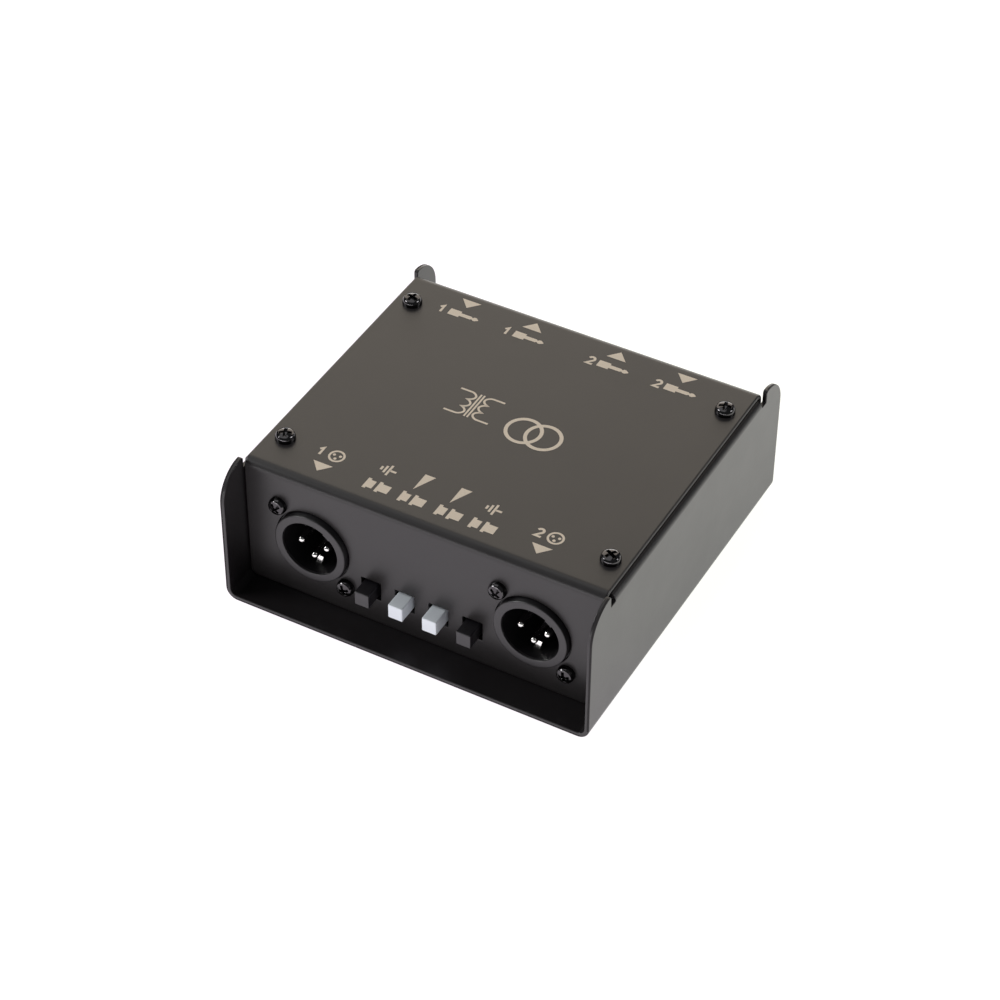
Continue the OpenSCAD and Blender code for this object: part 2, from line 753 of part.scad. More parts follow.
// The stacked core: a frame with two windows beside the middle leg
module transformer_core(side) {
    color([0.33, 0.34, 0.36]) at_transformer(side) from_y(-core_stack / 2, core_stack) difference() {
        translate([-core_w / 2, 0]) square([core_w, core_h]);
        for (s = sides) translate([s * (leg_w + window_w) / 2, core_h / 2])
            square([window_w, window_h], center = true);
    }
}

// A rectangular tube round the middle leg, two end plates and two pin rails
module transformer_bobbin(side) {
    rail_h = yoke_h + bobbin_gap + cheek_plate;
    color([0.86, 0.84, 0.78]) at_transformer(side) difference() {
        union() {
            translate([0, 0, yoke_h + bobbin_gap]) {
                linear_extrude(bobbin_h) square([2 * bobbin_side, 2 * bobbin_depth], center = true);
                for (z = [0, bobbin_h - cheek_plate]) translate([0, 0, z]) linear_extrude(cheek_plate)
                    rounded_plate(2 * bobbin_reach_x, 2 * bobbin_reach_y, 1);
            }
            for (s = sides) translate([-bobbin_reach_x + 1, s * rail_y - rail_w / 2, 0])
                cube([2 * bobbin_reach_x - 2, rail_w, rail_h]);
        }
        translate([0, 0, -1]) linear_extrude(core_h + 2)
            square([leg_w + 2 * bobbin_gap, core_stack + 2 * bobbin_gap], center = true);
        at_places(rail_pins, -1) cylinder(h = rail_pin_depth + 1, r = lead_r + 0.02);
    }
}

// The winding fills the bobbin between its end plates
module transformer_winding(side) {
    winding_h = bobbin_h - 2 * cheek_plate;
    color([0.62, 0.33, 0.16]) at_transformer(side)
        translate([0, 0, yoke_h + bobbin_gap + cheek_plate]) linear_extrude(winding_h) difference() {
            rounded_plate(2 * bobbin_reach_x - 1.2, core_stack + 2 * winding_bulge, 3);
            square([2 * bobbin_side, 2 * bobbin_depth], center = true);
        }
}

// Sheet straps over the cores, with tabs through slots in the board
module transformer_straps() {
    outer_w = core_w + 2 * strap_gap + 2 * strap_t;
    outer_h = core_h + strap_gap + strap_t;
    tab_below = 2;
    color([0.70, 0.70, 0.68]) for (s = sides) at_transformer(s) {
        from_y(-strap_w / 2, strap_w) difference() {
            translate([-outer_w / 2, 0]) square([outer_w, outer_h]);
            translate([-outer_w / 2 + strap_t, -1]) square([outer_w - 2 * strap_t, core_h + strap_gap + 1]);
        }
        for (sx = sides) translate([sx * strap_x(), 0, -(board_t + tab_below) / 2])
            cube([strap_t, strap_tab_w, board_t + tab_below + e], center = true);
    }
}

module transformer_pins() {
    color([0.80, 0.79, 0.74]) at_places(transformer_pins_xy, board_under_z - lead_below)
        cylinder(h = lead_below + board_t + rail_pin_depth, r = lead_r);
}

// ---- Small parts ---------------------------------------------------------

// Axial resistors lying on the board, with leads bent down at right angles
module resistors() {
    axis_z = board_z + resistor_r;
    color([0.45, 0.62, 0.70]) for (p = resistor_places) translate([p[0], p[1], 0]) {
        translate([0, 0, axis_z]) {
            bar_y(-resistor_l / 2, resistor_l, resistor_r);
            bar_y(-resistor_span / 2, resistor_span, lead_r);
        }
        for (s = sides) translate([0, s * resistor_span / 2, board_under_z - lead_below])
            cylinder(h = axis_z - board_under_z + lead_below, r = lead_r);
    }
}

module film_capacitors() {
    stand_off = 0.3;
    color([0.75, 0.12, 0.10]) for (p = capacitor_places) translate([p[0], p[1], 0]) {
        translate([0, 0, board_z + stand_off]) linear_extrude(capacitor_size[2])
            rounded_plate(capacitor_size[0], capacitor_size[1], 0.5);
        for (s = sides) translate([s * capacitor_span / 2, 0, board_under_z - lead_below])
            cylinder(h = board_t + lead_below + stand_off + 1, r = lead_r);
    }
}

// ---- One line for each piece ---------------------------------------------

black_cap = [0.13, 0.12, 0.13];
white_cap = [0.86, 0.88, 0.90];

base_tray();
cover();
cover_screws();
clinch_nuts();
rubber_feet();
output_socket(LEFT);  // output_socket_left
output_socket(RIGHT);  // output_socket_right
socket_pins(LEFT);  // socket_pins_left
socket_pins(RIGHT);  // socket_pins_right
earth_spring(LEFT);  // earth_spring_left
earth_spring(RIGHT);  // earth_spring_right
socket_screws();
button_cap(0, black_cap);  // lift_cap_left
button_cap(1, white_cap);  // pad_cap_left
button_cap(2, white_cap);  // pad_cap_right
button_cap(3, black_cap);  // lift_cap_right
plunger(0);  // lift_plunger_left
plunger(1);  // pad_plunger_left
plunger(2);  // pad_plunger_right
plunger(3);  // lift_plunger_right
switch_body(0);  // lift_switch_left
switch_body(1);  // pad_switch_left
switch_body(2);  // pad_switch_right
switch_body(3);  // lift_switch_right
switch_terminals();
jack_body(-input_x);  // input_jack_left
jack_body(-link_x);  // link_jack_left
jack_body(link_x);  // link_jack_right
jack_body(input_x);  // input_jack_right
jack_contacts();
jack_washers();
jack_nuts();
circuit_board();
standoffs();
board_screws();
transformer_core(LEFT);  // transformer_core_left
transformer_core(RIGHT);  // transformer_core_right
transformer_bobbin(LEFT);  // transformer_bobbin_left
transformer_bobbin(RIGHT);  // transformer_bobbin_right
transformer_winding(LEFT);  // transformer_winding_left
transformer_winding(RIGHT);  // transformer_winding_right
transformer_straps();
transformer_pins();
resistors();
film_capacitors();
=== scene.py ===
import math

import bmesh
import bpy
import numpy as np
from mathutils import Matrix, Vector


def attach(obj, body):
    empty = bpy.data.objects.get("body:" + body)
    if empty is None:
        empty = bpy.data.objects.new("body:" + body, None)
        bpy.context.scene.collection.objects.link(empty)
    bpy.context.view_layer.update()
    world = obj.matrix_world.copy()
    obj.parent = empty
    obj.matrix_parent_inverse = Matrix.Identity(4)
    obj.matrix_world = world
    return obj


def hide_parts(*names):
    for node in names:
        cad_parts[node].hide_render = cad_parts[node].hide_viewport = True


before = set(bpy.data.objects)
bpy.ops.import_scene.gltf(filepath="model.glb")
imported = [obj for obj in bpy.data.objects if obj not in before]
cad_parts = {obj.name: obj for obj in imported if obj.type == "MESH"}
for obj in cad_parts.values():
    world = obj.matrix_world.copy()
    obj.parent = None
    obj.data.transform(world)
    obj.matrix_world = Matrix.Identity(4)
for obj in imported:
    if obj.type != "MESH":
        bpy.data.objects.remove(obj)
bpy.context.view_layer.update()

# The looks of a stereo direct injection box. Lengths are in millimetres until a
# piece is made. The front faces -Y, up is +Z, as in the CAD.
MM = 0.001
LEFT, RIGHT = -1, 1
SIDES, SIDE_NAMES = (LEFT, RIGHT), ("left", "right")

# Places and sizes of the CAD that the looks take up
CHEEK_X, TRAY_END_Y = 63.5, 64.5
TRAY_Z, COVER_Z = 2.5, 51.1
PANEL_Y, SHEET = 53.0, 1.5
COVER_SCREW_X, COVER_SCREW_Y = 55.8, 38.5
FOOT_X, FOOT_Y, FOOT_R, FOOT_H = 52.0, 53.0, 6.5, 2.5
SOCKET_X, SOCKET_Z, FACE_Y = 38.2, 26.0, -55.0
NOSE_R, BARREL_R, CAVITY_R, CAVITY_L = 12.5, 11.9, 9.7, 15.5
PIN_CIRCLE_R, PIN_R, PIN_RECESS = 4.5, 1.2, 2.0
SOCKET_SCREW_OFFSET = 11.7
BUTTON_PITCH, BUTTON_Z = 11.8, 17.3
CAP_W, CAP_L, CAP_H, CAP_PROUD = 5.0, 8.8, 5.2, 5.8
INPUT_X, LINK_X, JACK_Z = 38.6, 15.0, 21.1
JACK_W, JACK_L, JACK_H, JACK_NOSE_R, JACK_BORE_R = 15.5, 26.0, 16.0, 4.5, 3.2

# Radius, height, shank radius and shank length of the two kinds of screw
COVER_SCREW = (3.25, 2.6, 1.45, 6.5)
SOCKET_SCREW = (3.0, 2.5, 1.4, 4.3)

# The printed ink reaches a little into the cover and stands a little proud of it
INK_TOP, INK_FOOT = COVER_Z + 0.03, COVER_Z - 0.02


# ---- Shader maths ----------------------------------------------------------


class Wire:
    """A node's output that answers to arithmetic by adding Math nodes."""

    def __init__(self, finish, socket):
        self.finish, self.socket = finish, socket

    def math(self, operation, *values):
        """A Math node of any operation on numbers and wires."""
        settings = {"operation": operation}
        return self.finish.node("ShaderNodeMath", settings, dict(enumerate(values)))

    def __add__(self, other):
        return self.math("ADD", self, other)

    def __sub__(self, other):
        return self.math("SUBTRACT", self, other)

    def __rsub__(self, other):
        return self.math("SUBTRACT", other, self)

    def __mul__(self, other):
        return self.math("MULTIPLY", self, other)

    __radd__, __rmul__ = __add__, __mul__

    def above(self, level, width):
        """0 below level, 1 above it, with a soft step of the given width."""
        settings = {"interpolation_type": "SMOOTHSTEP", "clamp": True}
        edges = {0: self, 1: level - width / 2, 2: level + width / 2, 3: 0.0, 4: 1.0}
        return self.finish.node("ShaderNodeMapRange", settings, edges)


class Finish:
    """A procedural material: a Principled shader and the nodes that feed it."""

    def __init__(self, name):
        self.material = bpy.data.materials.new(name)
        self.material.use_nodes = True
        self.tree = self.material.node_tree
        self.tree.nodes.clear()
        self.shader = self.tree.nodes.new("ShaderNodeBsdfPrincipled")
        self.output = self.tree.nodes.new("ShaderNodeOutputMaterial")
        self.tree.links.new(self.shader.outputs[0], self.output.inputs["Surface"])
        self.place = self.node("ShaderNodeTexCoord", {}, {}, "Object")

    def node(self, kind, settings, sockets, out=0):
        """Any node: its settings first, then the values or links of its sockets."""
        made = self.tree.nodes.new(kind)
        for name, value in settings.items():
            setattr(made, name, value)
        for key, value in sockets.items():
            self.feed(made.inputs[key], value)
        return Wire(self, made.outputs[out])

    def feed(self, socket, value):
        """Links a wire to a socket, or sets its value."""
        if isinstance(value, Wire):
            self.tree.links.new(value.socket, socket)
        else:
            socket.default_value = value

    def set(self, **values):
        """Feeds the shader's sockets, with _ for a space in their names."""
        for name, value in values.items():
            self.feed(self.shader.inputs[name.replace("_", " ")], value)
        return self

    def with_painted_shade(self, share, tone, rough, sheen_level):
        """A second, even shader, used as painted shade, that shows where share falls to 0."""
        painted_shade_bsdf = self.tree.nodes.new("ShaderNodeBsdfPrincipled")
        self.feed(painted_shade_bsdf.inputs["Base Color"], (*tone, 1.0))
        self.feed(painted_shade_bsdf.inputs["Roughness"], rough)
        self.feed(painted_shade_bsdf.inputs["Specular IOR Level"], sheen_level)
        ends = {1: Wire(self, painted_shade_bsdf.outputs[0]), 2: Wire(self, self.shader.outputs[0])}
        both = self.node("ShaderNodeMixShader", {}, {0: share, **ends})
        self.feed(self.output.inputs["Surface"], both)
        return self

    def noise(self, size, detail, roughness=0.5, stretch=None):
        """Noise from 0 to 1 whose lumps are about size millimetres across."""
        where = self.place
        if stretch:
            where = self.node("ShaderNodeMapping", {}, {"Vector": where, "Scale": stretch})
        sockets = {"Vector": where, "Scale": 1 / (size * MM), "Detail": detail}
        return self.node("ShaderNodeTexNoise", {}, {**sockets, "Roughness": roughness})

    def axis(self, name):
        """One Object coordinate in millimetres."""
        parts = self.node("ShaderNodeSeparateXYZ", {}, {0: self.place}, name)
        return parts * (1 / MM)

    def mix(self, share, first, second):
        """A colour between two colours, each a triple or a wire."""
        sides = {6: first, 7: second}
        for key, tone in sides.items():
            if not isinstance(tone, Wire):
                sides[key] = (*tone, 1.0)
        return self.node("ShaderNodeMix", {"data_type": "RGBA"}, {0: share, **sides}, 2)

    def bump(self, height, microns, under=None):
        """A Bump whose height of 1 stands for the given number of micrometres."""
        sockets = {"Height": height, "Distance": microns * 1e-6, "Strength": 1.0}
        if under is not None:
            sockets["Normal"] = under
        return self.node("ShaderNodeBump", {}, sockets, "Normal")


def shade(tone, factor):
    """A colour made darker or lighter by a factor."""
    return tuple(min(1.0, c * factor) for c in tone)


def sheared_edge(f):
    """1 on the torn half of the tray's sheared edges, by the sheet's outer face: on
    the cheeks beside the panels, and on the lip of the floor. Elsewhere 0."""
    x, y, z = (f.axis(name) for name in "XYZ")
    x, y = x.math("ABSOLUTE", x), y.math("ABSOLUTE", y)
    skin, above_bend, beside_panel = 0.08, TRAY_Z + 3.5, PANEL_Y + 1
    cheek = x.above(CHEEK_X - 0.7, 0.1) * (1 - x.above(CHEEK_X - skin, 0.04))
    cheek = cheek * y.above(beside_panel, 0.4) * z.above(above_bend, 0.5)
    lip = y.above(TRAY_END_Y - skin, 0.04) * (1 - z.above(TRAY_Z + 0.8, 0.1))
    return cheek.math("MAXIMUM", cheek, lip)


def coated(name, tone, rough, sheen_level, torn=0.0):
    """Powder coat: an orange-peel grain, faint clouds in tone and gloss, a little
    dust. Torn adds to the roughness on the torn half of the tray's sheared edges."""
    f = Finish(name)
    clouds = f.noise(38, 3.0, 0.55)
    handling = f.noise(9, 4.0, 0.6)
    dust = f.noise(0.9, 2.0).above(0.74, 0.05) * handling.above(0.5, 0.3)
    body = f.mix(clouds, shade(tone, 0.90), shade(tone, 1.12))
    gloss = rough - 0.05 + clouds * 0.06 + handling * 0.05
    if torn:
        gloss = gloss + sheared_edge(f) * torn
    f.set(Base_Color=f.mix(dust * 0.10, body, shade(tone, 3.0)))
    f.set(Roughness=gloss, Specular_IOR_Level=sheen_level)
    peel = f.bump(f.noise(1.6, 1.0), 8.0)
    return f.set(Normal=f.bump(f.noise(0.35, 2.0), 4.0, peel)).material


def plastic(name, tone, rough, mottle=0.06, coat=0.0, sheen_level=0.5):
    """Moulded plastic: a fine spark-eroded grain and a slight mottle."""
    f = Finish(name)
    cloud = f.noise(6, 3.0)
    f.set(Base_Color=f.mix(cloud, shade(tone, 1 - mottle), shade(tone, 1 + mottle)))
    f.set(Roughness=rough - 0.04 + f.noise(2.2, 3.0) * 0.08, Coat_Weight=coat)
    f.set(Specular_IOR_Level=sheen_level)
    return f.set(Normal=f.bump(f.noise(0.5, 3.0), 3.0))


def moulded(name, tone, rough, **more):
    """The material of a piece that is plastic all over."""
    return plastic(name, tone, rough, **more).material


def socket_plastic(name, tone, rough, sheen_level):
    """Moulded plastic with painted shade inside the sockets' cavities, a darker and duller even
    shader: nearer to a socket's axis than the cavity's radius, and more than 1 behind the face."""
    f = plastic(name, tone, rough, sheen_level=sheen_level)
    x, up = f.axis("X"), f.axis("Z") - SOCKET_Z
    across = x.math("ABSOLUTE", x) - SOCKET_X
    square = across * across + up * up
    radius = square.math("SQRT", square)
    outside = radius.above(CAVITY_R + 0.1, 0.2)
    rim = 1 - (f.axis("Y") - FACE_Y).above(1.0, 0.4)
    # Painted shade: inside the cavity a darker, duller even shader takes over from the plastic
    return f.with_painted_shade(outside.math("MAXIMUM", outside, rim), shade(tone, 0.8), 0.5, 0.15).material


def plated(name, tone, rough, brushed=None, tarnish=0.15):
    """Plated metal: faint tarnish and fine marks, drawn out along one axis if brushed."""
    f = Finish(name)
    cloud = f.noise(3, 3.0)
    f.set(Base_Color=f.mix(cloud * tarnish, tone, shade(tone, 0.6)))
    lines = f.noise(0.4, 2.0, stretch=brushed)
    f.set(Roughness=rough + lines * 0.10, Metallic=1.0)
    return f.set(Normal=f.bump(lines, 1.0)).material


def rubber(name, tone):
    """Matt rubber with a pebbled skin and a bloom of paler dust."""
    f = Finish(name)
    bloom = f.noise(5, 4.0)
    f.set(Base_Color=f.mix(bloom * 0.5, tone, shade(tone, 2.2)))
    f.set(Roughness=0.72 + bloom * 0.15)
    return f.set(Normal=f.bump(f.noise(0.4, 2.0), 12.0)).material


def ink(name, tone):
    """Screen-printed ink: nearly even, thinner in specks where the mesh left it."""
    f = Finish(name)
    weave = f.noise(0.35, 1.0)
    f.set(Base_Color=f.mix(weave, shade(tone, 0.86), shade(tone, 1.1)))
    f.set(Roughness=0.5 + weave * 0.12)
    return f.set(Normal=f.bump(weave, 4.0)).material


def board_mask(name, tone):
    """Solder mask with copper tracks showing through as a paler pattern."""
    f = Finish(name)
    tracks = f.node("ShaderNodeTexBrick", {"offset": 0.37}, {
        "Vector": f.place, "Scale": 140.0, "Mortar Size": 0.06, "Mortar Smooth": 0.2,
        "Color1": (1, 1, 1, 1), "Color2": (0.6, 0.6, 0.6, 1), "Mortar": (0, 0, 0, 1)})
    f.set(Base_Color=f.mix(tracks, shade(tone, 0.7), shade(tone, 1.5)))
    f.set(Roughness=0.28 + f.noise(4, 2.0) * 0.1)
    return f.set(Normal=f.bump(tracks, 35.0)).material


def laminated(name, tone):
    """Stacked steel sheets, seen on edge: fine bands along the stack."""
    f = Finish(name)
    bands = f.node("ShaderNodeTexWave", {"bands_direction": "Y"}, {
        "Vector": f.place, "Scale": 100.0, "Distortion": 0.4, "Detail": 1.0})
    rust = f.noise(2.5, 4.0).above(0.62, 0.1)
    f.set(Base_Color=f.mix(rust * 0.3, f.mix(bands, shade(tone, 0.55), tone), (0.16, 0.07, 0.03)))
    f.set(Roughness=0.38 + bands * 0.15, Metallic=0.85)
    return f.set(Normal=f.bump(bands, 60.0)).material


def taped(name, tone):
    """Yellow-brown winding tape with the overlap of its turns."""
    f = Finish(name)
    turns = f.node("ShaderNodeTexWave", {"bands_direction": "Z", "wave_profile": "SAW"}, {
        "Vector": f.place, "Scale": 40.0, "Distortion": 0.15, "Detail": 1.0})
    f.set(Base_Color=f.mix(turns, shade(tone, 0.75), shade(tone, 1.1)))
    f.set(Roughness=0.25 + f.noise(2, 2.0) * 0.1)
    return f.set(Normal=f.bump(turns, 50.0)).material


# ---- Surfaces --------------------------------------------------------------


def joined(*shells):
    """Several (points, faces) shells as one, with the face numbers moved on."""
    points, faces, start = [], [], 0
    for shell_points, shell_faces in shells:
        points.append(shell_points)
        faces += [tuple(int(i) + start for i in face) for face in shell_faces]
        start += len(shell_points)
    return np.concatenate(points), faces


def netted(net, round_rows=False, round_columns=True):
    """Quads over a net of points, shape (rows, columns, 3). Either way may close."""
    rows, columns = net.shape[:2]
    i = np.arange(rows if round_rows else rows - 1)[:, None]
    j = np.arange(columns if round_columns else columns - 1)[None, :]
    below, beside = (i + 1) % rows, (j + 1) % columns
    corners = [i * columns + j, i * columns + beside, below * columns + beside, below * columns + j]
    quads = np.stack([np.broadcast_to(c, (len(i), j.shape[1])) for c in corners], axis=-1)
    return net.reshape(-1, 3), quads.reshape(-1, 4)


def capped(net):
    """A net closed round its columns, with a face over its first and last rows."""
    points, quads = netted(net)
    rows, columns = net.shape[:2]
    first, last = tuple(range(columns)), tuple(range((rows - 1) * columns, rows * columns))
    return points, [tuple(q) for q in quads] + [first[::-1], last]


def eased(corners, radii, steps=5):
    """A line through corners, each rounded: at a corner the point runs from radius
    before it to radius after it along (1-t)^2 a + 2t(1-t) corner + t^2 b."""
    corners = np.asarray(corners, float)
    t = np.linspace(0, 1, steps + 1)[:, None]
    parts = [corners[:1]]
    for before, corner, after, r in zip(corners, corners[1:], corners[2:], radii):
        a = corner + (before - corner) / np.linalg.norm(before - corner) * r
        b = corner + (after - corner) / np.linalg.norm(after - corner) * r
        parts.append((1 - t) ** 2 * a + 2 * t * (1 - t) * corner + t**2 * b)
    return np.concatenate(parts + [corners[-1:]])


def turned(profile, centre, axis="Z", count=64, angles=None, swell=None):
    """A body of revolution: each (radius, distance) of the profile is carried round
    the axis as (radius cos a, radius sin a). swell adds to the radius at each row and
    angle."""
    profile = np.asarray(profile, float)
    a = np.linspace(0, 2 * np.pi, count, endpoint=False) if angles is None else angles
    radius = profile[:, :1] + (0 if swell is None else swell)
    across, up = radius * np.cos(a), radius * np.sin(a)
    along = np.broadcast_to(profile[:, 1:], across.shape)
    order = (across, up, along) if axis == "Z" else (across, along, up)
    return netted(np.stack(order, axis=-1) + np.asarray(centre, float))


def plate_round(a, outlines, x, y, z):
    """A closed body round an axis along Y through (x, y, z). An outline is a radius r,
    or one for each angle a, and a distance d: (x + r cos a, y + d, z + r sin a)."""
    rows = [np.stack([x + r * np.cos(a), 0 * a + y + d, z + r * np.sin(a)], axis=-1)
            for r, d in outlines]
    return netted(np.stack(rows), round_rows=True)


def soft_block(size, radius, centre, dish=0.0, cuts=4, steps=3):
    """A block with rounded edges. Each point q of a cube's net becomes its nearest
    point on the block shrunk by radius, plus radius along the way to q. dish hollows
    the -Y face by dish (1 - (x/hx)^2) (1 - (z/hz)^2)."""
    half = np.asarray(size, float) / 2
    lines = []
    for h in half:
        rim = h - radius + radius * np.tan(np.linspace(0, np.pi / 4, steps + 1)[1:])
        flat = np.linspace(radius - h, h - radius, cuts + 1)
        lines.append(np.concatenate([-rim[::-1], flat, rim]))
    shells = []
    for k in range(3):
        u, v = (k + 1) % 3, (k + 2) % 3
        for side in SIDES:
            net = np.zeros((len(lines[u]), len(lines[v]), 3))
            net[..., u], net[..., v] = lines[u][:, None], lines[v][None, :]
            net[..., k] = side * half[k]
            core = np.clip(net, radius - half, half - radius)
            way = net - core
            net = core + radius * way / np.linalg.norm(way, axis=-1, keepdims=True)
            if k == 1 and side < 0:
                bowl = (1 - (net[..., 0] / half[0]) ** 2) * (1 - (net[..., 2] / half[2]) ** 2)
                net[..., 1] += dish * np.clip(bowl, 0, None)
            shells.append(netted(net + np.asarray(centre, float), False, False))
    return joined(*shells)


def pan_head(head_r, head_h, shank_r, shank_l):
    """A pan-head screw with a cross recess, its seat at the origin and its head up.
    In polar form an arm of the cross reaches min(length / cos a, width / |sin a|).
    The recess walls lean in: at the bottom the same outline is 0.72 as wide."""
    arm, slot = head_r * 0.62, head_r * 0.17
    corner = math.atan2(slot, arm)
    quarter = np.concatenate([
        np.linspace(-np.pi / 4, -corner, 6), np.linspace(-corner, corner, 5)[1:-1],
        np.linspace(corner, np.pi / 4, 6)[:-1]])
    reach = np.minimum(arm / np.cos(quarter), slot / np.maximum(np.abs(np.sin(quarter)), 1e-6))
    a = np.concatenate([quarter + k * np.pi / 2 for k in range(4)])
    cross = np.tile(reach, 4)
    dome_r, shoulder, depth = head_r * 1.9, head_r * 0.86, head_h * 0.62
    top, lip = head_h - dome_r, cross + 0.05

    def dome(r):
        return top + np.sqrt(dome_r**2 - r**2)

    rows = [(0.0 * cross, 0 * a + head_h - depth * 1.15), (cross * 0.45, 0 * a + head_h - depth),
            (cross * 0.72, 0 * a + head_h - depth * 0.9), (cross * 0.98, dome(cross) - 0.05),
            (lip, dome(lip))]
    for t in (0.12, 0.3, 0.55, 0.8, 1.0):
        r = lip * (1 - t) + shoulder * t
        rows.append((r, dome(r)))
    brim = (head_r, dome(shoulder) - 0.2 * head_h)
    rim = eased([(shoulder, dome(shoulder)), brim, (head_r, 0.0)], [0.34 * head_h], 7)[1:]
    under = [(head_r - 0.15, 0.0), (shank_r, 0.0), (shank_r, -shank_l), (0.0, -shank_l)]
    for r, z in [*rim, *under]:
        rows.append((0 * a + r, 0 * a + z))
    net = np.stack([np.stack([r * np.cos(a), r * np.sin(a), z], axis=-1) for r, z in rows])
    return netted(net)


def set_at(shell, places, spins=(0,), turn=None):
    """Copies of a shell at several places. Each is first spun about Z by its angle
    in degrees, then all are turned by a 3 x 3 matrix."""
    points, faces = shell
    copies = []
    for k, place in enumerate(places):
        a = math.radians(spins[k % len(spins)])
        c, s = math.cos(a), math.sin(a)
        spun = points @ np.array([(c, s, 0), (-s, c, 0), (0, 0, 1)])
        if turn is not None:
            spun = spun @ np.asarray(turn, float).T
        copies.append((spun + np.asarray(place, float), faces))
    return joined(*copies)


def stroke(line, width, closed=False, lift=0.0):
    """A flat ribbon of ink along a line on the cover: at each point the section is a
    thin rectangle across the mean direction of the two stretches that meet there.
    lift raises its top over ink that it crosses."""
    line = np.asarray(line, float)
    before = np.roll(line, 1, axis=0) if closed else np.concatenate([line[:1], line[:-1]])
    after = np.roll(line, -1, axis=0) if closed else np.concatenate([line[1:], line[-1:]])
    here, there = line - before, after - line
    if not closed:
        here[0], there[-1] = there[0], here[-1]
    here = here / np.linalg.norm(here, axis=1, keepdims=True)
    there = there / np.linalg.norm(there, axis=1, keepdims=True)
    along = here + there
    along = along / np.linalg.norm(along, axis=1, keepdims=True)
    stretch = 1 / np.maximum((along * here).sum(axis=1, keepdims=True), 0.5)
    side = np.stack([-along[:, 1], along[:, 0]], axis=1) * stretch * width / 2
    net = np.zeros((len(line), 4, 3))
    top = INK_TOP + lift
    for k, (sign, height) in enumerate([(1, top), (1, INK_FOOT), (-1, INK_FOOT), (-1, top)]):
        net[:, k, :2] = line + sign * side
        net[:, k, 2] = height
    return netted(net, round_rows=True) if closed else capped(net)


def patch(outline):
    """A flat patch of ink with the given outline on the cover."""
    outline = np.asarray(outline, float)
    net = np.zeros((2, len(outline), 3))
    net[..., :2] = outline
    net[0, :, 2], net[1, :, 2] = INK_FOOT, INK_TOP
    return capped(net)


# ---- Making pieces ---------------------------------------------------------


def bordered(net, border):
    """Gives each broad flat, of at least 900 square millimetres, a border of even
    width, so that no long thin face meets an edge that is rounded later."""
    flats, broad = {}, 900.0 * MM**2
    for face in net.faces:
        k = max(range(3), key=lambda i: abs(face.normal[i]))
        if abs(face.normal[k]) > 0.9999:
            plane = (k, face.normal[k] > 0, round(face.calc_center_median()[k] / MM, 1))
            flats.setdefault(plane, []).append(face)
    for faces in flats.values():
        if sum(face.calc_area() for face in faces) > broad:
            bmesh.ops.inset_region(net, faces=faces, thickness=border * MM, use_boundary=True,
                                   use_even_offset=True)


def weighed(net, share):
    """Marks the sharp edges for the Bevel: 1 at the two ends in X, elsewhere share."""
    layer = net.edges.layers.float.new("bevel_weight_edge")
    end = max(abs(vertex.co.x) for vertex in net.verts) - 0.8 * MM
    for edge in net.edges:
        if edge.is_manifold and edge.calc_face_angle() > math.radians(40):
            edge[layer] = 1.0 if min(abs(vertex.co.x) for vertex in edge.verts) > end else share


def cleaned(mesh, smooth, border=None, share=1.0):
    """Merges doubles, turns the faces outwards, and smooths edges under an angle. With
    a border, it also merges the faces of each flat and marks the edges for a Bevel."""
    net = bmesh.new()
    net.from_mesh(mesh)
    bmesh.ops.remove_doubles(net, verts=net.verts, dist=2e-6)
    if border:
        bmesh.ops.dissolve_limit(net, angle_limit=math.radians(0.6), verts=net.verts,
                                 edges=net.edges)
    bmesh.ops.recalc_face_normals(net, faces=net.faces)
    if border:
        bordered(net, border)
        weighed(net, share)
    net.to_mesh(mesh)
    net.free()
    mesh.shade_smooth()
    mesh.set_sharp_from_angle(angle=math.radians(smooth))


def in_scene(name, data):
    """A new object in the scene, at the origin, that shows the given data."""
    thing = bpy.data.objects.new(name, data)
    bpy.context.scene.collection.objects.link(thing)
    return thing


def declared(piece, material, body, nodes):
    """Gives a piece its material, hangs it from its body's empty, and hides the CAD nodes it
    replaces.
    """
    piece.data.materials.clear()
    piece.data.materials.append(material)
    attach(piece, body)
    if nodes:
        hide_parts(*nodes)
    return piece


def made(name, shell, material, slot, body="case", nodes=(), smooth=35):
    """A new piece from points in millimetres, in place, its object at the origin."""
    points, faces = shell
    mesh = bpy.data.meshes.new(name)
    mesh.from_pydata((np.asarray(points) * MM).tolist(), [], [list(map(int, f)) for f in faces])
    cleaned(mesh, smooth)
    return declared(in_scene(name, mesh), material, body, nodes)


def softened(node, name, width, material, segments=3, share=1.0):
    """A copy of a CAD node's own mesh with its edges rounded by a Bevel: by width at
    its two ends in X, and by the given share of it elsewhere."""
    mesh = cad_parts[node].data.copy()
    mesh.name = name
    cleaned(mesh, 30, border=width * 1.3, share=share)
    piece = in_scene(name, mesh)
    bevel = piece.modifiers.new("edge", "BEVEL")
    bevel.width, bevel.segments = width * MM, segments
    bevel.limit_method = "WEIGHT"
    bevel.use_clamp_overlap = False
    bevel.miter_outer = "MITER_ARC"
    flats = piece.modifiers.new("flats", "WEIGHTED_NORMAL")
    flats.mode, flats.weight, flats.keep_sharp = "FACE_AREA", 100, True
    return declared(piece, material, "case", [node])


# ---- Finishes --------------------------------------------------------------

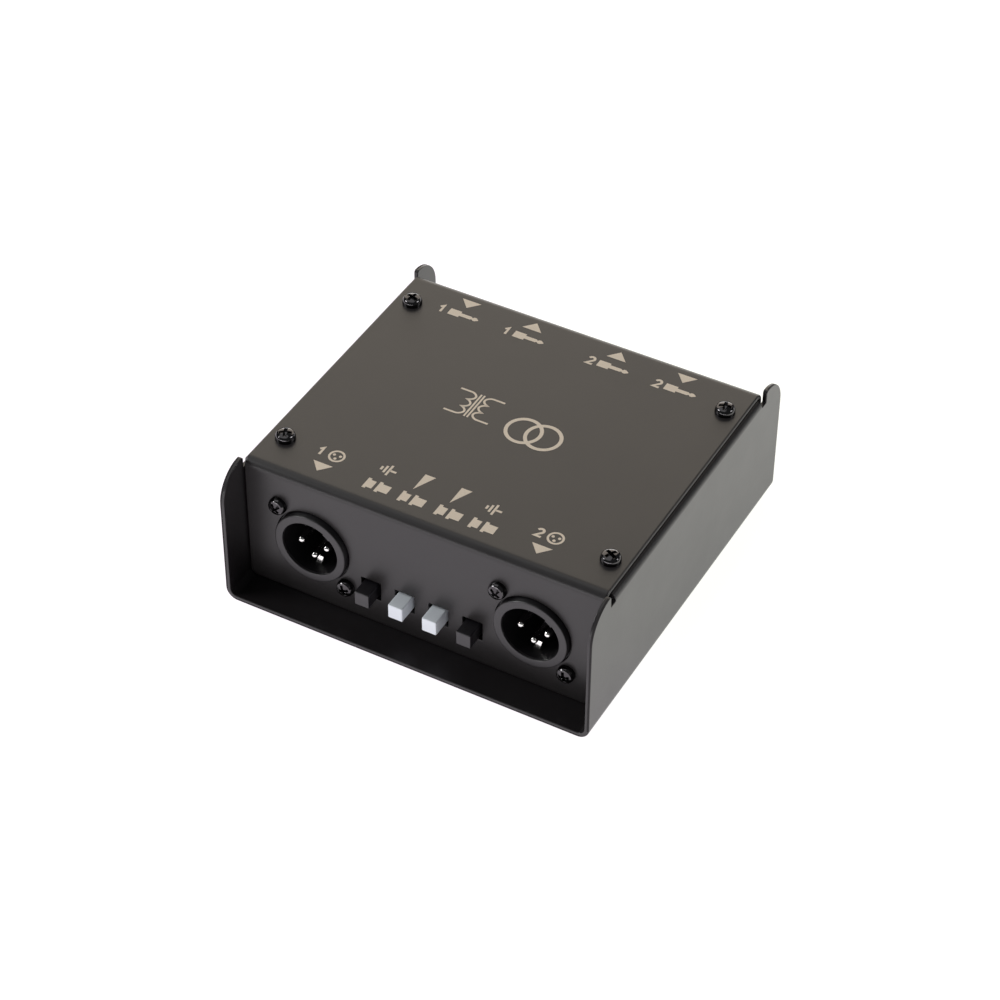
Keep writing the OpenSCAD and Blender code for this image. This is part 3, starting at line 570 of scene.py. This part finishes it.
tray_coat = coated("tray_coat", (0.0115, 0.0098, 0.0108), 0.32, 0.62, torn=0.55)
cover_coat = coated("cover_coat", (0.0170, 0.0152, 0.0156), 0.36, 0.58)
screw_black = plated("screw_black", (0.085, 0.082, 0.085), rough=0.06, tarnish=0.3)
zinc = plated("zinc", (0.66, 0.66, 0.63), rough=0.30, brushed=(1, 1, 0.2))
foot_rubber = rubber("foot_rubber", (0.018, 0.018, 0.018))
# socket_black paints shade inside the socket cavities
socket_black = socket_plastic("socket_black", (0.0100, 0.0090, 0.0104), 0.42, 0.76)
silver = plated("contact_silver", (0.94, 0.93, 0.90), rough=0.03, brushed=(1, 0.2, 1), tarnish=0.1)
satin_silver = plated("satin_silver", (0.96, 0.95, 0.92), rough=0.14, tarnish=0.05)
cap_black = moulded("cap_black", (0.0100, 0.0086, 0.0110), rough=0.34, sheen_level=0.76)
cap_white = moulded("cap_white", (0.84, 0.89, 0.94), rough=0.38, mottle=0.02)
stem_white = moulded("stem_white", (0.80, 0.79, 0.74), rough=0.45, mottle=0.02)
switch_black = moulded("switch_black", (0.030, 0.030, 0.032), rough=0.5)
tin = plated("tin", (0.68, 0.67, 0.63), rough=0.32)
jack_black = moulded("jack_black", (0.026, 0.026, 0.026), rough=0.38)
nut_black = plated("nut_black", (0.11, 0.11, 0.11), rough=0.28, tarnish=0.3)
board_green = board_mask("board_green", (0.018, 0.11, 0.045))
core_steel = laminated("core_steel", (0.26, 0.27, 0.29))
bobbin_nylon = moulded("bobbin_nylon", (0.72, 0.68, 0.57), rough=0.5)
winding_tape = taped("winding_tape", (0.44, 0.22, 0.05))
resistor_blue = moulded("resistor_blue", (0.22, 0.38, 0.48), rough=0.3, coat=0.3)
capacitor_red = moulded("capacitor_red", (0.42, 0.035, 0.03), rough=0.3, coat=0.3)
print_ink = ink("print_ink", (0.72, 0.625, 0.51))


# ---- Case ------------------------------------------------------------------


def four(x, y, z):
    """Four places at both signs of x and y."""
    return [(sx * x, sy * y, z) for sx in SIDES for sy in SIDES]


softened("base_tray", "tray_sheet", 0.22, tray_coat)
softened("cover", "cover_sheet", 0.62, cover_coat, segments=5, share=0.36)

cover_screws = set_at(pan_head(*COVER_SCREW), four(COVER_SCREW_X, COVER_SCREW_Y, COVER_Z),
                      spins=(24, 77, 62, 15))
made("cover_screw_heads", cover_screws, screw_black, "black_screw", nodes=["cover_screws"])

# The sole is a ring round a shallow dish
foot_profile = eased([(0, 0.7), (2.2, 0.7), (2.6, 0), (5.7, 0), (FOOT_R, FOOT_H), (0, FOOT_H)],
                     [0.2, 0.3, 0.7, 0.1])
feet = set_at(turned(foot_profile, (0, 0, 0)), four(FOOT_X, FOOT_Y, 0))
made("feet", feet, foot_rubber, "foot_rubber", nodes=["rubber_feet"])


# ---- Output sockets --------------------------------------------------------


def socket_body(x):
    """The nose and barrel, turned about Y, with a flange. The cavity's wall steps in
    by 0.8 over a key 2.8 wide at the upper right, from 0.5 behind the face."""
    key_w, key_h, key_front, key_angle = 2.8, 0.8, 0.5, 50
    rear_y, flange_y = 18, 3.5
    key, middle = math.atan2(key_w / 2, CAVITY_R), math.radians(key_angle)
    plain = np.linspace(middle + key, 2 * np.pi + middle - key, 90)
    on_top = np.array([-key + 1e-3, -key / 2, 0, key / 2, key - 1e-3])
    angles = np.concatenate([plain, middle + on_top])
    step = np.where(np.arange(len(angles)) < len(plain), 0, -key_h)
    front = eased([(NOSE_R, flange_y), (NOSE_R, 0), (CAVITY_R, 0), (CAVITY_R, key_front)],
                  [0.55, 0.4], 6)
    profile = [(0, rear_y), (BARREL_R, rear_y), (BARREL_R, flange_y), *front,
               (CAVITY_R, key_front + 0.01), (CAVITY_R, CAVITY_L), (0, CAVITY_L)]
    keyed = np.zeros((len(profile), 1))
    keyed[-3:-1] = 1
    nose = turned(profile, (x, FACE_Y, SOCKET_Z), "Y", angles=angles, swell=keyed * step)
    return joined(nose, socket_flange(x, flange_y))


def socket_flange(x, front_y):
    """A plate round the barrel, 3 thick. At each angle it reaches the farther of its
    disc and its ear, whose edge lies at |c cos a| + sqrt(ear^2 - (c sin a)^2), with a
    counted from the ears' diagonal and c the distance of their centres."""
    disc_r, ear_r, thickness = 14.2, 4.5, 3.0
    a = np.linspace(0, 2 * np.pi, 96, endpoint=False)
    off = a + np.pi / 4
    centre = SOCKET_SCREW_OFFSET * math.sqrt(2)
    aside = centre * np.sin(off)
    ear = np.abs(centre * np.cos(off)) + np.sqrt(np.clip(ear_r**2 - aside**2, 0, None))
    edge = np.maximum(disc_r, np.where(np.abs(aside) < ear_r, ear, 0))
    hole_r, rear_y = BARREL_R - 0.1, front_y + thickness
    outlines = [(hole_r, front_y), (edge, front_y), (edge, rear_y), (hole_r, rear_y)]
    return plate_round(a, outlines, x, FACE_Y, SOCKET_Z)


def socket_contacts(x):
    """Three pins turned about Y, each tip a half circle, with square tails down."""
    pin_l, tail_w, tail_y, tail_foot = 18.0, 0.9, -35.0, 10.0
    a = np.linspace(0, np.pi / 2, 8)
    tip = np.stack([PIN_R * np.sin(a), PIN_R - PIN_R * np.cos(a)], axis=1)
    pin = np.concatenate([tip, [(PIN_R, pin_l), (0, pin_l)]])
    shells = []
    for dx, dz in [(-PIN_CIRCLE_R, 0), (PIN_CIRCLE_R, 0), (0, -PIN_CIRCLE_R)]:
        shells.append(turned(pin, (x + dx, FACE_Y + PIN_RECESS, SOCKET_Z + dz), "Y", 28))
        height = SOCKET_Z + dz - tail_foot
        middle = (x + dx, tail_y, tail_foot + height / 2)
        shells.append(soft_block((tail_w, tail_w, height), 0.1, middle, cuts=1, steps=1))
    return joined(*shells)


def earth_leaf(x):
    """A leaf of spring metal: a smoothed line in Y and Z carried across. It stands up
    steeply from the cavity's floor and dips below the floor behind its crest; on the
    way up it leans to the right, and its width narrows by taper (1 - cos (pi rise))."""
    leaf_w, thickness, lean, taper = 2.1, 0.4, 0.5, 0.25
    front, rear, low = FACE_Y + 4.8, FACE_Y + 19, SOCKET_Z - 9.4
    under = low - 0.8
    line = eased([(front, low - 0.3), (front + 0.9, low + 2.0), (front + 1.9, under),
                  (rear, under)], [0.15, 0.4], 6)
    rise = np.clip((line[:, 0] - front) / 0.8, 0, 1)
    half = leaf_w / 2 - taper / 2 * (1 - np.cos(np.pi * rise))
    net = np.zeros((len(line), 4, 3))
    for k, (side, up) in enumerate([(-1, 0), (1, 0), (1, thickness), (-1, thickness)]):
        across = x + lean * rise + side * half
        net[:, k] = np.stack([across, line[:, 0], line[:, 1] + up], axis=1)
    return capped(net)


for side, word in zip(SIDES, SIDE_NAMES):
    x = side * SOCKET_X
    made("output_housing_" + word, socket_body(x), socket_black, "socket_plastic",
         nodes=["output_socket_" + word])
    made("contact_pins_" + word, socket_contacts(x), silver, "contact_silver",
         nodes=["socket_pins_" + word])
    made("earth_leaf_" + word, earth_leaf(x), satin_silver, "contact_silver",
         nodes=["earth_spring_" + word])

# Head up becomes head towards -Y
FACING_FRONT = [[1, 0, 0], [0, 0, -1], [0, 1, 0]]
socket_screw_places = [(side * SOCKET_X + d * SOCKET_SCREW_OFFSET, -PANEL_Y,
                        SOCKET_Z - d * SOCKET_SCREW_OFFSET) for side in SIDES for d in SIDES]
socket_screws = set_at(pan_head(*SOCKET_SCREW), socket_screw_places, spins=(40, 20, 52, 12),
                       turn=FACING_FRONT)
made("socket_screw_heads", socket_screws, screw_black, "black_screw", nodes=["socket_screws"])


# ---- Buttons ---------------------------------------------------------------

buttons = [("lift", "left", cap_black, "cap_black"), ("pad", "left", cap_white, "cap_white"),
           ("pad", "right", cap_white, "cap_white"), ("lift", "right", cap_black, "cap_black")]
for i, (kind, word, finish, slot) in enumerate(buttons):
    centre = ((i - 1.5) * BUTTON_PITCH, -PANEL_Y - CAP_PROUD + CAP_L / 2, BUTTON_Z)
    made(f"{kind}_button_top_{word}", soft_block((CAP_W, CAP_L, CAP_H), 0.35, centre, dish=0.12),
         finish, slot, body=f"{kind}_button_{word}", nodes=[f"{kind}_cap_{word}"])


# ---- Jacks -----------------------------------------------------------------


def jack_shell(x):
    """The threaded nose is turned about Y with a ridge that climbs one pitch a turn:
    the radius falls by ridge_h |2 phase - 1|, where phase is what y / pitch - a / turn
    leaves over whole turns. The body has the outline |x/w|^8 + |z/h|^8 = 1."""
    pitch, ridge_h, rim, power = 0.75, 0.24, 0.3, 8
    bore_end, panel_inner_y = 2.0 - JACK_L, PANEL_Y - SHEET
    a = np.linspace(0, 2 * np.pi, 72, endpoint=False)
    y = np.arange(0.6, 5.7, pitch / 8)
    phase = (y[:, None] / pitch - a / (2 * np.pi)) % 1
    profile = [(0, 1 - JACK_L), (JACK_NOSE_R, 1 - JACK_L), (JACK_NOSE_R, 0.5),
               *[(JACK_NOSE_R, v) for v in y], (4.3, 5.8), (4.1, 6.0), (3.9, 6.0),
               (JACK_BORE_R, 5.4), (JACK_BORE_R, bore_end), (0, bore_end)]
    swell = np.zeros((len(profile), len(a)))
    swell[3:3 + len(y)] = -ridge_h * np.abs(2 * phase - 1)
    nose = turned(profile, (x, panel_inner_y, JACK_Z), "Y", angles=a, swell=swell)
    outer = (np.abs(np.cos(a) / (JACK_W / 2)) ** power
             + np.abs(np.sin(a) / (JACK_H / 2)) ** power) ** (-1 / power)
    hole_r = JACK_NOSE_R - 0.1
    outlines = [(hole_r, 0), (outer - rim, 0), (outer, -rim), (outer, rim - JACK_L),
                (outer - rim, -JACK_L), (hole_r, -JACK_L)]
    return joined(nose, plate_round(a, outlines, x, panel_inner_y, JACK_Z))


jacks = [("input", "left", -INPUT_X), ("link", "left", -LINK_X),
         ("link", "right", LINK_X), ("input", "right", INPUT_X)]
for kind, word, x in jacks:
    made(f"{kind}_socket_6mm_{word}", jack_shell(x), jack_black, "jack_plastic",
         nodes=[f"{kind}_jack_{word}"])
softened("jack_nuts", "ring_nuts", 0.15, nut_black)
softened("jack_washers", "flat_washers", 0.1, nut_black)


# ---- Printed marks ---------------------------------------------------------


def triangle(x, y, up):
    """An arrowhead 6.8 wide and 3.8 high whose base lies at y."""
    return patch(np.array([(x - 3.4, y), (x + 3.4, y), (x, y + up * 3.8)]))


def button_sign(x, y, height):
    """A push button from the side: a base 4.7 long and a head that stands up by height."""
    return patch([(x, y - 2.35), (x + 1.1, y - 2.35), (x + 1.1, y - 1.7), (x + height, y - 1.7),
                  (x + height, y + 1.7), (x + 1.1, y + 1.7), (x + 1.1, y + 2.35), (x, y + 2.35)])


def arc(x, y, r, start, end, count):
    """Points at (x + r cos a, y + r sin a), with a from start to end in degrees."""
    a = np.radians(np.linspace(start, end, count))
    return np.stack([x + r * np.cos(a), y + r * np.sin(a)], axis=1)


def numeral(which, x, y):
    """A plain 1 or 2, 4.2 high, drawn with a pen along lines and arcs."""
    pen = 0.85
    h = 4.2 - pen
    if which == 1:
        flag = [(x - 0.3 * h, y + 0.2 * h), (x, y + 0.5 * h), (x, y - 0.5 * h)]
        return stroke(flag, pen)
    bowl = arc(x, y + 0.22 * h, 0.28 * h, 165, -35, 15)
    base = [(x - 0.30 * h, y - 0.5 * h), (x + 0.34 * h, y - 0.5 * h)]
    return stroke(np.concatenate([bowl, base]), pen)


def plug_sign(x, y):
    """A 6.35 mm plug from the side, 10.6 long: grip, shaft, and a pointed tip."""
    half = [(-5.3, 1.5), (-1.3, 1.5), (-1.3, 0.75), (2.6, 0.75), (2.9, 0.45), (3.2, 0.45),
            (3.6, 0.85), (4.3, 0.85), (5.3, 0.15)]
    below = [(u, -v) for u, v in half[::-1]]
    return patch(np.array(half + below) + (x, y))


def socket_sign(x, y):
    """A three-pin socket from the front: a ring and three dots."""
    dots = [patch(arc(x + 1.15 * math.cos(a), y + 1.15 * math.sin(a), 0.5, 0, 345, 24))
            for a in (math.radians(20), math.radians(160), math.radians(270))]
    return joined(stroke(arc(x, y, 2.35, 0, 355, 72), 0.7, closed=True), *dots)


def earth_sign(x, y):
    """A stem and three bars that shorten, read from the right-hand side."""
    shells = [stroke([(x + 3.0, y), (x + 0.8, y)], 0.8)]
    for k, half in enumerate([2.4, 1.6, 0.8]):
        bar = x + 0.6 - k * 1.3
        shells.append(stroke([(bar, y - half), (bar, y + half)], 0.75))
    return joined(*shells)


def level_sign(x, y):
    """A wedge: a level that falls along its length."""
    return patch([(x - 1.7, y - 3.8), (x + 1.9, y + 3.8), (x - 1.7, y + 3.8)])


def transformer_sign(x, y):
    """Two windings of three humps each, 2.1 |sin|^0.6 high, two core lines between
    them, and four leads."""
    half, foot_x, lead_x, core_x = 5.6, 3.7, 7.8, 0.55
    t = np.linspace(0, 1, 73)
    height = 2.1 * np.abs(np.sin(3 * np.pi * t)) ** 0.6
    shells = []
    for side in SIDES:
        lead, core = x + side * lead_x, x + side * core_x
        humps = np.stack([x + side * (foot_x - height), y + half - 2 * half * t], axis=1)
        line = np.concatenate([[(lead, y + half)], humps, [(lead, y - half)]])
        shells.append(stroke(line, 0.7))
        shells.append(stroke([(core, y + half + 0.2), (core, y - half - 0.2)], 0.6))
    return joined(*shells)


def stereo_sign(x, y):
    """Two rings that overlap, the right-hand one 0.01 higher."""
    rings = [stroke(arc(x + shift, y, 5.6, 0, 355, 72), 1.2, closed=True, lift=lift)
             for shift, lift in ((-3.4, 0.0), (3.4, 0.01))]
    return joined(*rings)


# Rows of the print: y on the cover
INPUT_ARROW_Y, LINK_ARROW_Y, JACK_ROW_Y = 48.4, 44.9, 40.6
OUTPUT_ARROW_Y, SOCKET_ROW_Y, BUTTON_ROW_Y, SWITCH_ROW_Y = -42.95, -38.2, -44.05, -36.0

# Columns of the print: the input, link and output of each channel, and the signs for
# pressed and for out of each button
CHANNELS = [(1, -39.2, -15.5, -39.6), (2, 38.2, 14.7, 35.6)]
BUTTON_COLUMNS = [("lift", -24.15, -20.1), ("pad", -12.07, -7.95),
                  ("pad", 0.52, 4.62), ("lift", 12.13, 16.3)]
PRESSED_H, OUT_H = 3.0, 4.2

marks = []
for number, x_in, x_link, x_out in CHANNELS:
    for x, y, up in ((x_in, INPUT_ARROW_Y, -1), (x_link, LINK_ARROW_Y, 1)):
        marks += [triangle(x, y, up), numeral(number, x - 6.6, JACK_ROW_Y),
                  plug_sign(x + 1.2, JACK_ROW_Y)]
    marks += [triangle(x_out, OUTPUT_ARROW_Y, -1), numeral(number, x_out - 3.4, SOCKET_ROW_Y),
              socket_sign(x_out + 1.9, SOCKET_ROW_Y)]
for kind, x_pressed, x_out in BUTTON_COLUMNS:
    marks += [button_sign(x_pressed, BUTTON_ROW_Y, PRESSED_H),
              button_sign(x_out, BUTTON_ROW_Y, OUT_H)]
    middle = (x_pressed + x_out) / 2 + 1.6
    marks.append(earth_sign(middle - 0.6, SWITCH_ROW_Y) if kind == "lift"
                 else level_sign(middle, SWITCH_ROW_Y))
marks += [stereo_sign(9.4, 0.0), transformer_sign(-13.0, 3.0)]
made("top_print", joined(*marks), print_ink, "print_ink", smooth=20)


# ---- Carried-over nodes ----------------------------------------------------

KINDS = ("lift", "pad")
carried = {
    zinc: ["clinch_nuts", "standoffs", "board_screws", "transformer_straps"],
    stem_white: [f"{kind}_plunger_{word}" for kind in KINDS for word in SIDE_NAMES],
    switch_black: [f"{kind}_switch_{word}" for kind in KINDS for word in SIDE_NAMES],
    tin: ["switch_terminals", "jack_contacts", "transformer_pins"],
    board_green: ["circuit_board"],
    core_steel: ["transformer_core_" + word for word in SIDE_NAMES],
    bobbin_nylon: ["transformer_bobbin_" + word for word in SIDE_NAMES],
    winding_tape: ["transformer_winding_" + word for word in SIDE_NAMES],
    resistor_blue: ["resistors"],
    capacitor_red: ["film_capacitors"],
}
for material, names in carried.items():
    for name in names:
        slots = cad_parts[name].data.materials
        slots.clear()
        slots.append(material)


# ---- Stage -----------------------------------------------------------------

# Azimuth, elevation and roll in degrees; the shift is to the right and up
CAMERA_ANGLES, CAMERA_LENS = (28.54, 41.76, 0.504), 105.97
CAMERA_SHIFT, CAMERA_DISTANCE = (-1.693, 13.143), 936.1
LIGHT_AIM = Vector((0, 0, 0.02))


def camera_place():
    """The camera's place in metres, and its axes to the right, up and back."""
    azimuth, elevation, roll = (math.radians(v) for v in CAMERA_ANGLES)
    level = math.cos(elevation)
    back = Vector((math.sin(azimuth) * level, -math.cos(azimuth) * level, math.sin(elevation)))
    right = Vector((0, 0, 1)).cross(back).normalized()
    up = back.cross(right)
    right, up = (math.cos(roll) * right + math.sin(roll) * up,
                 math.cos(roll) * up - math.sin(roll) * right)
    aside, above = CAMERA_SHIFT
    place = aside * right + above * up + CAMERA_DISTANCE * back + Vector((0, 0, TRAY_Z))
    return place * MM, right, up, back


camera_data = bpy.data.cameras.new("camera")
camera_data.lens, camera_data.sensor_width = CAMERA_LENS, 36.0
camera_data.clip_start, camera_data.clip_end = 0.01, 50.0
camera = in_scene("camera", camera_data)
place, right, up, back = camera_place()
camera.rotation_mode = "QUATERNION"
camera.matrix_world = Matrix((right, up, back)).transposed().to_4x4()
camera.location = place
bpy.context.scene.camera = camera


def softbox(name, place, size, watts, tone=(1, 1, 1)):
    """An area light of the given width and height, turned to face the box."""
    data = bpy.data.lights.new(name, "AREA")
    data.shape = "RECTANGLE"
    data.size, data.size_y = size
    data.energy, data.color = watts, tone
    light = in_scene(name, data)
    light.location = place
    light.rotation_mode = "QUATERNION"
    light.rotation_quaternion = (LIGHT_AIM - Vector(place)).to_track_quat("-Z", "Y")


softbox("rear_backdrop", (-0.72, 1.30, 0.80), (1.7, 1.5), 12.5, (1.0, 0.90, 0.77))
softbox("rear_strip", (0.0, 1.9, 0.16), (3.4, 0.3), 7)
softbox("top_softbox", (-0.55, 0.05, 1.55), (1.2, 1.3), 3.4)
softbox("left_softbox", (-1.05, -0.55, 0.72), (0.5, 0.4), 7)
softbox("right_softbox", (1.12, 0.40, 0.72), (0.5, 0.4), 4.5)
softbox("front_strip", (0.0, -1.5, 0.07), (2.0, 0.12), 3.4)


def paper(name):
    """Grey paper with a glow of its own, so that it shows as a lit backdrop. The glow
    is a little warmer behind the box, and brighter beyond its right side."""
    f = Finish(name)
    cloud = f.noise(120, 2.0)
    behind = (f.axis("X") * 0.8 + f.axis("Y") * 0.6).above(20.0, 80.0)
    beside = f.axis("X").above(76.0, 20.0)
    rear_glow = f.mix(beside, (0.95, 0.95, 0.90), (1.10, 1.10, 1.04))
    f.set(Base_Color=f.mix(cloud, (0.19, 0.19, 0.19), (0.21, 0.21, 0.21)), Roughness=0.8)
    f.set(Emission_Color=f.mix(behind, (1.0, 0.94, 1.0), rear_glow), Emission_Strength=1.04)
    return f.material


def floor_mesh(name, half):
    """One square in the plane of the soles, twice half metres wide."""
    corners = np.array([[(x, y, 0.0) for x in (-half, half)] for y in (-half, half)], float)
    points, faces = netted(corners, False, False)
    mesh = bpy.data.meshes.new(name)
    mesh.from_pydata(points.tolist(), [], faces.tolist())
    mesh.materials.append(paper(name))
    return mesh


floor = in_scene("floor", floor_mesh("floor", 6))

world = bpy.data.worlds.new("studio")
world.use_nodes = True
sky = world.node_tree.nodes["Background"].inputs
sky["Color"].default_value, sky["Strength"].default_value = (0.94, 0.97, 1.0, 1.0), 0.10
bpy.context.scene.world = world
bpy.context.scene.view_settings.view_transform = "Standard"
